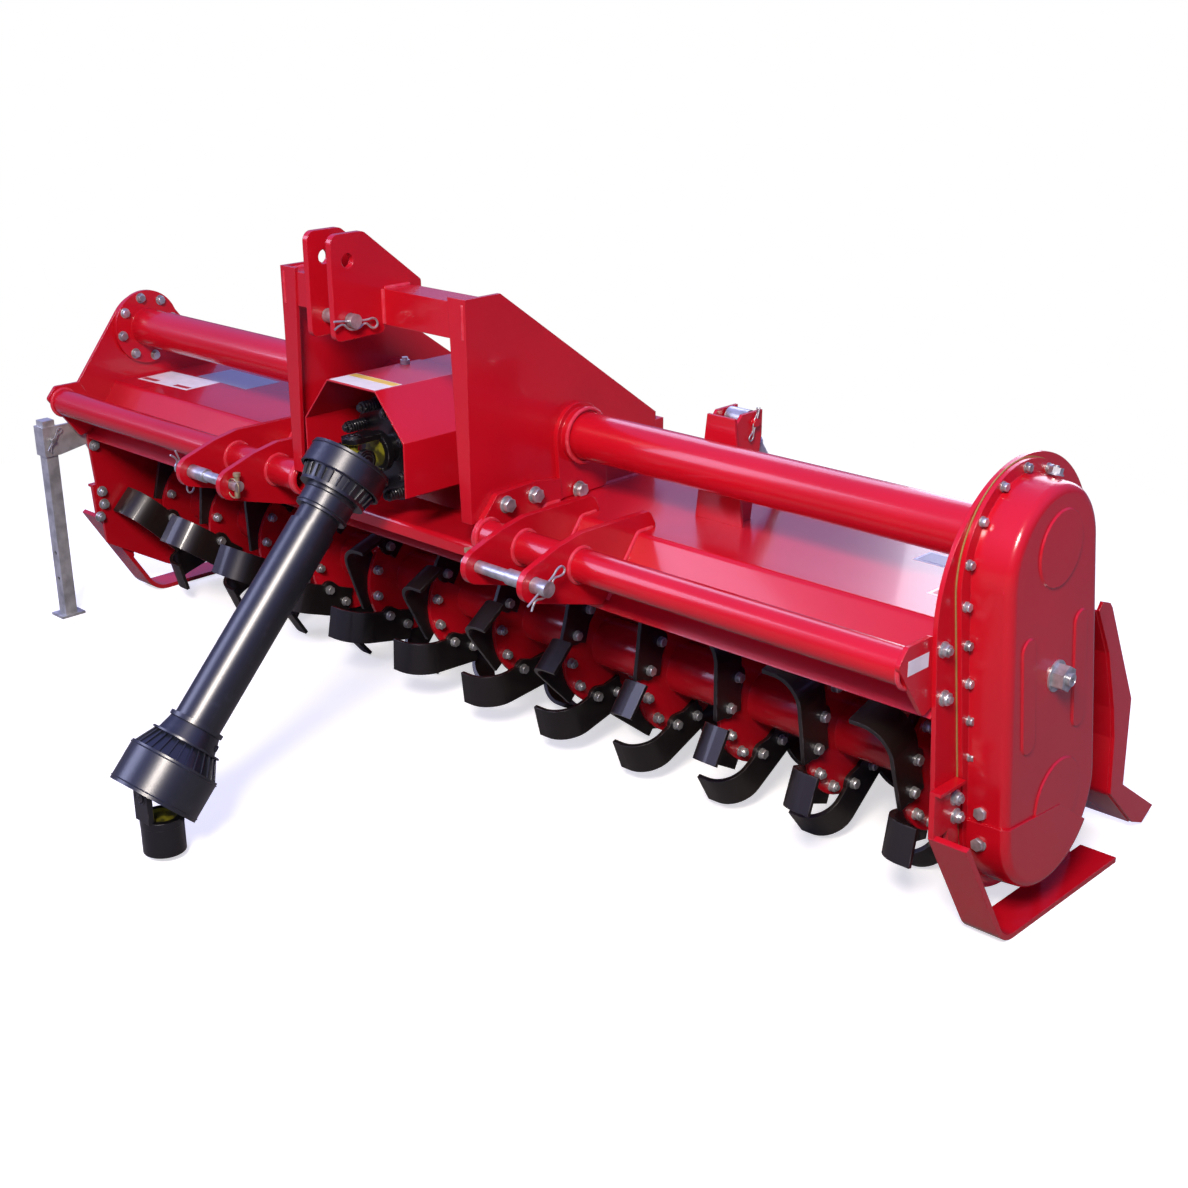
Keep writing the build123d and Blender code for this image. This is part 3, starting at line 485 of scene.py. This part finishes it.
def tine_bolts(face, way_x, offset):
    """The poses of the root bolts on one face of every rotor flange."""
    poses = []
    first, pitch, count = rotor_flange_x
    for k in range(count):
        for third in range(3):
            turn = radians(first_turn + offset + stagger * k + 120 * third)
            for v in (tine_bolt[1], -tine_bolt[1]):
                y = rotor_axis[0] + tine_bolt[0] * cos(turn) - v * sin(turn)
                z = rotor_axis[1] + tine_bolt[0] * sin(turn) + v * cos(turn)
                poses.append(stand(at(first + pitch * k + face, y, z), (way_x, 0, 0), 20 * k))
    return poses


set_out(hex_bolt(17, 8, tine_head_washer), "tine_bolt_heads", zinc_plate, "rotor",
        tine_bolts(8, 1, -60) + tine_bolts(-16, -1, 0))
set_out(hex_bolt(17, 10, tine_head_washer, stud=4), "tine_bolt_nuts", zinc_plate, "rotor",
        tine_bolts(-8, -1, -60) + tine_bolts(0, 1, 0))

# ---- parking stand --------------------------------------------------------------------
# Square tube and its socket, hot-dip galvanised after welding: a matt grey with pale
# spangles. A pin through the socket is kept by a small spring clip.
galvanised = metal("hot_dip_galvanised", "#D2D4CF", "#A9ABA6", 30.0, 0.38)
finish_nodes(["stand_leg", "stand_socket"], galvanised)
stand_low, stand_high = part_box("stand_leg")
stand_pin_x = 1000 * ((stand_low[0] + stand_high[0]) / 2 - datum.x)
stand_pin_y = 1000 * ((stand_low[1] + stand_high[1]) / 2 - datum.y)
stand_pin_z = 441
stand_pin = join([round_bar(5, -36, 32, 14), round_bar(8, -39, -35, 14),
                  slab((-4, 4), (-14, 14), (-44, -39), 1)])
set_out(stand_pin, "stand_pin", zinc_plate, "machine",
        [stand(at(stand_pin_x, stand_pin_y, stand_pin_z), (1, 0, 0), 20)])

# ---- hitch pin clips ------------------------------------------------------------------
# Spring clips bent from zinc-plated wire: one leg through the pin, the other sprung round it
# and a loop to pull it by. The pins' inner ends have a linch pin with a ring over the end.
clip_wire = 2.0
small_clip = 0.62
lower_pin = (-353, 520.6)
brass_pale = "#C8BC96"
brass_dull = "#98895C"


def spring_clip(pin_r):
    """An R-shaped clip in the local YZ plane, its straight leg on Z through a pin along X."""
    hold = pin_r + clip_wire
    return wire([(0, 0, -44), (0, 0, -20), (0, 0, 12), (0, 0, 30), (0, -4, 42), (0, -1, 52),
                 (0, 8, 56), (0, 15, 50), (0, 13, 40), (0, 5, 30), (0, 6, 22), (0, hold, 12),
                 (0, hold + 1, 0), (0, hold, -11), (0, 5, -22), (0, 7, -32), (0, 14, -42)], clip_wire)


def clip_pose(place, lean):
    """A clip hung on a pin along X, its loop leaning to the rear by so many degrees."""
    return Matrix.Translation(place) @ Matrix.Rotation(radians(-lean), 4, "X")


set_out(spring_clip(13.9), "lower_pin_clips", zinc_plate, "machine",
        [clip_pose(at(522, *lower_pin), 58), clip_pose(at(-522, *lower_pin), 158)])
set_out(spring_clip(12.7), "top_pin_clip", zinc_plate, "machine",
        [clip_pose(at(47, -344, 901), 96)])
set_out(spring_clip(5.0), "stand_pin_clip", zinc_plate, "machine",
        [clip_pose(at(stand_pin_x + 27, stand_pin_y, stand_pin_z), 35)
         @ Matrix.Scale(small_clip, 4)])
set_out(spring_clip(8.0), "tower_pin_clips", zinc_plate, "machine",
        [clip_pose(at(side * 568 + 36, 101, 731), 200) @ Matrix.Scale(small_clip, 4)
         for side in (1, -1)])

brass_wire = metal("yellow_zinc_steel", brass_pale, brass_dull, 60.0, 0.3)
linch = join([round_bar(5.5, -24, 20, 14), round_bar(7.5, 20, 27, 14)])
linch_ring = ring(19, 1.6)
linch_ring.rotation_euler = (0, radians(90), 0)
linch_ring.location = (0.009, 0, -0.003)
set_out(join([linch, linch_ring]), "linch_pins", brass_wire, "machine",
        [stand(at(side * 338, *lower_pin), (0.0, 0.05, 1.0), -90 * side) for side in (-1, 1)])

# ---- lift rods ------------------------------------------------------------------------
# Each sleeve has an orange plastic plug in its grease hole and two zinc-plated collars.
plug_orange = "#E07A1C"
orange_plastic, tree = empty_material("orange_plastic")
finish_material(tree, add_node(tree, "BsdfPrincipled", Base_Color=linear(plug_orange),
                               Roughness=0.4))
rod_axis = joint_axis["rod_slide_right"]
sleeve_face = 17.0
plug_along = 42.0                                       # from the pivot, down the sleeve
collars_along = (60, 140)


def band(radius, wall, low, high):
    """A short open sleeve about local Z, its wall inwards from a radius."""
    bpy.ops.mesh.primitive_cylinder_add(
        vertices=64, radius=radius / 1000, depth=(high - low) / 1000, end_fill_type="NOTHING",
        location=(0, 0, (low + high) / 2000))
    piece = bpy.context.object
    modifier = piece.modifiers.new("wall", "SOLIDIFY")
    modifier.thickness = wall / 1000
    modifier.offset = -1.0
    bpy.ops.object.modifier_apply(modifier=modifier.name)
    return piece


for side, name in ((1, "right"), (-1, "left")):
    top = joint_at["sleeve_pivot_" + name]
    plug_place = Vector((top.x + sleeve_face / 1000, top.y, top.z)) + rod_axis * plug_along / 1000
    set_out(round_bar(5.5, 0, 2.5, 14), "grease_plug_" + name, orange_plastic, "sleeve_" + name,
            [stand(plug_place, (1, 0, 0))])
    collars = [band(19.5, 4.0, z, z + 6) for z in collars_along]
    set_out(join(collars), "sleeve_collars_" + name, zinc_plate, "sleeve_" + name,
            [stand(top, rod_axis)])

# ---- driveline guards -----------------------------------------------------------------
# Blow-moulded polyethylene tubes and bell ends, black all through: a low sheen with broad
# bluish highlights and fine scuffs. Each cone is stiffened by a ring of fins.
guard_black = "#10151A"
guard_scuff = "#3F444D"

guard_plastic, tree = empty_material("black_polyethylene")
place = add_node(tree, "TexCoord")
scuff = add_node(tree, "TexNoise", Vector=(place, "Object"), Scale=35.0, Detail=6.0, Roughness=0.7)
scuff_share = add_node(tree, "MapRange", Value=(scuff, 0), From_Min=0.56, From_Max=0.74,
                       To_Max=0.3)
guard_shade = add_node(tree, "MixRGB", Fac=(scuff_share, 0), Color1=linear(guard_black),
                       Color2=linear(guard_scuff))
guard_grain = add_node(tree, "TexNoise", Vector=(place, "Object"), Scale=900.0, Detail=2.0)
guard_bump = add_node(tree, "Bump", Strength=0.1, Distance=0.0004, Height=(guard_grain, 0))
finish_material(tree, add_node(tree, "BsdfPrincipled", Base_Color=(guard_shade, 0), Roughness=0.33,
                               IOR=1.54, Specular_IOR_Level=0.85, Normal=(guard_bump, 0)))
finish_nodes(["upper_guard", "lower_guard"], guard_plastic)

upper_joint = joint_at["shaft_tilt"]
lower_joint = joint_at["yoke_tilt"]
shaft_way = joint_axis["shaft_telescope"]
shaft_stand = stand(upper_joint, shaft_way)

# Places along the shaft from the upper joint, in mm. Fins: (along, radius) at both ends, how
# many and how high. Beads: (radius, along). Bands: radius, wall, and from where to where.
bead_r = 1.3
upper_fins = ((54, 72), (79, 64.7), 26, 7)
lower_fins = ((604, 61.5), (641, 80.5), 28, 6)
upper_beads = ((78.6, 13), (79.2, 52), (50.6, 90), (50.6, 118))
lower_beads = ((84.5, 645), (84.5, 712), (48.6, 580))
upper_band = (79.2, 4, 33, 52)
lower_band = (65.5, 6, 600.5, 604)
clip_eye_place = (0.0535, 0, 0.588)


def fins(start, end, count, height):
    """The poses of fins that run from (along, radius) to (along, radius) round the shaft."""
    run = ((end[0] - start[0]) ** 2 + (end[1] - start[1]) ** 2) ** 0.5
    lean = atan((end[1] - start[1]) / (end[0] - start[0]))
    fin = slab((-height, 0), (-1.6, 1.6), (0, run), 0.5)
    foot = Matrix.Translation((start[1] / 1000, 0, start[0] / 1000))
    pose = foot @ Matrix.Rotation(lean, 4, "Y")
    return fin, [shaft_stand @ Matrix.Rotation(2 * pi * k / count, 4, "Z") @ pose
                 for k in range(count)]


def guard_beads(beads, wide_band):
    """The beads and the band that stand proud of one guard, about the shaft's axis."""
    return [ring(radius, bead_r, z, 48, 6) for radius, z in beads] + [band(*wide_band)]


fin, poses = fins(*upper_fins)
set_out(fin, "upper_bell_fins", guard_plastic, "driveline_upper", poses)
fin, poses = fins(*lower_fins)
set_out(fin, "lower_bell_fins", guard_plastic, "driveline_lower", poses)

set_out(join(guard_beads(upper_beads, upper_band)), "upper_guard_beads", guard_plastic,
        "driveline_upper", [shaft_stand])
parts = guard_beads(lower_beads, lower_band)
clip_eye = ring(6, 1.4, 0, 18, 6)
clip_eye.matrix_world = (Matrix.Rotation(radians(-35), 4, "Z")
                         @ Matrix.Translation(clip_eye_place)
                         @ Matrix.Rotation(radians(90), 4, "Y"))
set_out(join(parts + [clip_eye]), "lower_guard_beads", guard_plastic, "driveline_lower",
        [shaft_stand])

# ---- universal joints and clutch ------------------------------------------------------
# Cast yokes in black enamel whose inner faces and seal caps still show the olive-yellow
# primer of the joint kit, patched at random with a dark olive painted shade. Needle caps close the ears, and coil
# springs press the clutch.
primer_yellow = "#807B1F"
# The dark olive below is painted shade, mixed into the primer yellow at random.
primer_painted_shade = "#3A3814"
ear_face = 39.0                                         # out to an ear's face, from the joint
inside_ear = 28.6
to_base = 58.0
clutch_springs = (85.0, 8, -234.0, 38.0)                # ring radius, how many, start y, length

# On the crosses the primer is clouded with the dark olive painted shade too.
yellow_primer = enamel("yellow_joint_primer", primer_yellow, primer_painted_shade, steel_rub,
                       roughness=0.45)
finish_nodes(["cross_lower", "cross_upper"], yellow_primer)


def primed_enamel(name, centre, across):
    """Black enamel, with primer between a yoke's ears: across is the ears' axis, 1 Y or 2 Z."""
    material, tree = empty_material(name)
    black, rounded = enamel_shade(tree, enamel_black, enamel_black_deep, steel_rub, 0.6)
    place = add_node(tree, "TexCoord")
    offset = add_node(tree, "VectorMath", {"operation": "SUBTRACT"},
                      i0=(place, "Object"), i1=tuple(centre))
    reach = add_node(tree, "VectorMath", {"operation": "LENGTH"}, i0=(offset, "Vector"))
    parts = add_node(tree, "SeparateXYZ", Vector=(offset, "Vector"))
    to_ear = add_node(tree, "Math", {"operation": "ABSOLUTE"}, i0=(parts, across))
    within = add_node(tree, "Math", {"operation": "LESS_THAN"}, i0=(to_ear, 0),
                      i1=inside_ear / 1000)
    near = add_node(tree, "Math", {"operation": "LESS_THAN"}, i0=(reach, "Value"),
                    i1=to_base / 1000)
    both = add_node(tree, "Math", {"operation": "MULTIPLY"}, i0=(within, 0), i1=(near, 0))
    # The primer is mixed at random with the dark olive painted shade.
    primer_shade_noise = add_node(tree, "TexNoise", Vector=(place, "Object"), Scale=45.0, Detail=4.0)
    primer_shade_share = add_node(tree, "MapRange", Value=(primer_shade_noise, 0), From_Min=0.42, From_Max=0.6)
    primer = add_node(tree, "MixRGB", Fac=(primer_shade_share, 0), Color1=linear(primer_yellow),
                      Color2=linear(primer_painted_shade))
    shade = add_node(tree, "MixRGB", Fac=(both, 0), Color1=(black, 0), Color2=(primer, 0))
    finish_material(tree, enamel_coat(tree, shade, rounded, 0.36))
    return material


finish_nodes(["tractor_yoke"], primed_enamel("primed_tractor_yoke", lower_joint, 1))
finish_nodes(["slip_clutch"], primed_enamel("primed_clutch", upper_joint, 2))

# Each yoke's two needle caps: which joint, which way the ears stand, and its body.
yoke_ears = (("clutch_caps", upper_joint, (0, 0, 1), "machine"),
             ("upper_yoke_caps", upper_joint, (1, 0, 0), "driveline_upper"),
             ("lower_yoke_caps", lower_joint, (1, 0, 0), "driveline_lower"),
             ("tractor_yoke_caps", lower_joint, (0, 1, 0), "tractor_yoke"))
for name, centre, ears, body in yoke_ears:
    cap = join([round_bar(11, 0, 2.2, 22), ring(15.5, 1.4), ring(11, 1.2, 1.6),
                round_bar(3, 2, 4, 10)])
    set_out(cap, name, black_enamel, body,
            [stand(centre + Vector(ears) * side * ear_face / 1000, Vector(ears) * side)
             for side in (1, -1)])

spring_ring, spring_count, spring_start, spring_l = clutch_springs
clutch_z = 1000 * upper_joint.z
coil_r, coil_wire, turns = 10.6, 1.9, 6
coil = wire([(coil_r * cos(2 * pi * k / 8), coil_r * sin(2 * pi * k / 8),
              spring_l * k / (8 * turns)) for k in range(8 * turns + 1)], coil_wire)
spring_end = join([round_bar(11, spring_l - 0.5, spring_l + 1.5, 20),
                   round_bar(8, spring_l + 1, spring_l + 8, 6)])
spring_places = []
for k in range(spring_count):
    turn = 2 * pi * (k + 0.5) / spring_count
    spring_places.append(stand(at(spring_ring * cos(turn), spring_start,
                                  clutch_z + spring_ring * sin(turn)), (0, -1, 0)))
set_out(join([coil, spring_end]), "clutch_springs", black_enamel, "machine",
        spring_places)

# ---- gear-case gasket -----------------------------------------------------------------
# A ring of tan fibre sheet pressed between the side plate and the cover; only its edge shows.
fibre_tan = "#B08D4E"
fibre_dark = "#7E6436"

gasket_fibre, tree = empty_material("tan_fibre_gasket")
place = add_node(tree, "TexCoord")
fibre = add_node(tree, "TexNoise", Vector=(place, "Object"), Scale=400.0, Detail=4.0)
fibre_shade = add_node(tree, "MixRGB", Fac=(fibre, 0), Color1=linear(fibre_tan),
                       Color2=linear(fibre_dark))
finish_material(tree, add_node(tree, "BsdfPrincipled", Base_Color=(fibre_shade, 0),
                               Roughness=0.85))
finish_nodes(["gear_gasket"], gasket_fibre)

# ---- oil plugs ------------------------------------------------------------------------
# Hexagon plugs, zinc plated: one to fill the gear case from above, two low in its front wall
# for level and drain, and a vent in the gearbox that shows over the shroud. The hollow end of
# the idler's shaft stands in its nut.
set_out(join([round_bar(13, 0, 3, 20), round_bar(11, 3, 12, 6), round_bar(4, 12, 15, 10)]),
        "gear_case_filler", zinc_plate, "machine",
        [stand(at(1225, 40, 773), (0, 0.3, 0.95))])
set_out(hex_bolt(20, 9, 13), "gear_case_plugs", zinc_plate, "machine",
        [stand(at(1221, -78, z), (0, -1, 0.05), 10 * k) for k, z in enumerate((245, 190))])
nut_low, nut_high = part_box("idler_nut")
nut_face = Vector((nut_high[0], (nut_low[1] + nut_high[1]) / 2, (nut_low[2] + nut_high[2]) / 2))
set_out(join([band(11.0, 7.5, -1, 6), ring(9.8, 1.2, 5.6), round_bar(4.5, -1, 1, 16)]),
        "idler_shaft_end", zinc_plate, "machine", [stand(nut_face, (1, 0, 0))])
set_out(join([round_bar(10, 0, 8, 6), round_bar(6, 8, 13, 12)]), "shroud_plug", zinc_plate,
        "machine", [stand(at(-60, -140, 774), (0, 0, 1))])

# ---- welds ----------------------------------------------------------------------------
# Hand-run weld beads, rippled and painted over with the rest, where tubes and ears meet. Their
# colour is a painted highlight: a paler, pinker red than the enamel, with pale pink edges.
bead = 4.2
# The bead colours below are painted highlight: paler than the enamel, with pale pink edges.
weld_highlight_red = "#D2303E"
weld_highlight_deep = "#C22330"
weld_edge_highlight = "#F0A8AE"
weld_highlight_enamel = enamel("weld_painted_highlight", weld_highlight_red, weld_highlight_deep, weld_edge_highlight, roughness=0.2,
                     edge_share=0.8, ripple=1.0, ripple_size=0.007)
front_tube = (-241.5, 528.0, 30.15)
ear_faces = (264.4, 271, 352, 364.7, 490, 502.7, 1172)
hitch_foot = ((-176, 446), (-140, 497), (-100, 549.5), (-94, 552.5), (-60, 552.5))
mast_x, mast_front_y, mast_low_z, mast_high_z = 249.5, -267.5, 884, 944
mast_top_z = 946.5
deck_z = 552.5


def bead_line(side, x, *places):
    """A straight-run bead on one side of the machine, through (y, z) places at one x."""
    return wire([at(side * x, y, z) for y, z in places], bead, soft=False)


parts = []
for side in (1, -1):
    for x in ear_faces:
        parts.append(ring(front_tube[2] + 1, bead, 0, 36, 8))
        parts[-1].matrix_world = stand(at(side * x, front_tube[0], front_tube[1]), (1, 0, 0))
    for x, radius in ((1180, 45.0), (284, 50.6)):
        if side > 0 or x < 1000:
            parts.append(ring(radius, bead, 0, 44, 8))
            parts[-1].matrix_world = stand(at(side * x, 0, main_tube_z), (1, 0, 0))
    for x in (352, 364.7, 490, 502.7, hitch_outer_x):
        parts.append(bead_line(side, x, *hitch_foot))
    for y in (mast_front_y, -204):
        parts.append(bead_line(side, mast_x, (y, mast_low_z), (y, mast_high_z)))
    for x in (26, 38.7):
        parts.append(bead_line(side, x, (mast_front_y, mast_low_z), (mast_front_y, 946)))
        parts.append(bead_line(side, x, (-264, mast_top_z), (-206, mast_top_z)))
    parts.append(bead_line(side, mast_x, (-262, mast_top_z), (-206, mast_top_z)))
    parts.append(bead_line(side, 258.5, (-95, deck_z), (200, deck_z)))
dress(join(parts), "weld_beads", weld_highlight_enamel, "machine")

# ---- blank stickers -------------------------------------------------------------------
# Vinyl stickers without any printing: white or grey-blue sheets, some with a coloured band,
# 0.3 mm thick, on the deck, the shroud and the end gusset.
sticker_t = 0.3
soil_grey = "#8C8C88"


def vinyl(name, colour):
    """Sheet vinyl in one colour, a little soiled."""
    material, tree = empty_material(name)
    place = add_node(tree, "TexCoord")
    soil = add_node(tree, "TexNoise", Vector=(place, "Object"), Scale=40.0, Detail=5.0)
    soiled = add_node(tree, "MapRange", Value=(soil, 0), From_Min=0.3, From_Max=0.8,
                      To_Min=0.0, To_Max=0.25)
    shade = add_node(tree, "MixRGB", Fac=(soiled, 0), Color1=linear(colour),
                     Color2=linear(soil_grey))
    finish_material(tree, add_node(tree, "BsdfPrincipled", Base_Color=(shade, 0), Roughness=0.32))
    return material


vinyls = {"white": vinyl("white_vinyl", "#E9E9E6"),
          "grey": vinyl("grey_blue_vinyl", "#8F93A2"),
          "yellow": vinyl("yellow_vinyl", "#E3C21F"),
          "red": vinyl("red_vinyl", "#B5202B")}
# Each sticker: colour, middle, half width and depth, the surface's way, its spin, its layer.
stickers = (
    ("white", (0, -287, 774), 65, 32, (0, 0, 1), 0, 0),
    ("yellow", (0, -266, 774), 63, 9, (0, 0, 1), 0, 1),
    ("white", (-1071, 8, 552), 92, 50, (0, 0, 1), 4, 0),
    ("red", (-1130, -30, 552), 27, 7, (0, 0, 1), 4, 1),
    ("red", (-1012, -22, 552), 27, 7, (0, 0, 1), 4, 1),
    ("grey", (-978, 114, 552), 98, 50, (0, 0, 1), 0, 0),
    ("white", (972, 140, 552), 33, 26, (0, 0, 1), 0, 0),
    ("grey", (972, 140, 552), 28, 21, (0, 0, 1), 0, 1),
    ("white", (1078, 22, 552), 30, 32, (0, 0, 1), 0, 0),
    ("red", (1078, 22, 552), 24, 26, (0, 0, 1), 0, 1),
    ("white", (1180, -230, 533), 27, 12, (1, 0, 0), 0, 0),
)
sheets = {colour: [] for colour in vinyls}
for colour, middle, half_w, half_d, way_up, spin, layer in stickers:
    piece = slab((-half_w, half_w), (-half_d, half_d),
                 (sticker_t * layer, sticker_t * (layer + 1)))
    piece.matrix_world = stand(at(*middle), way_up, spin)
    sheets[colour].append(piece)
for colour, pieces in sheets.items():
    dress(join(pieces), colour + "_stickers", vinyls[colour], "machine")
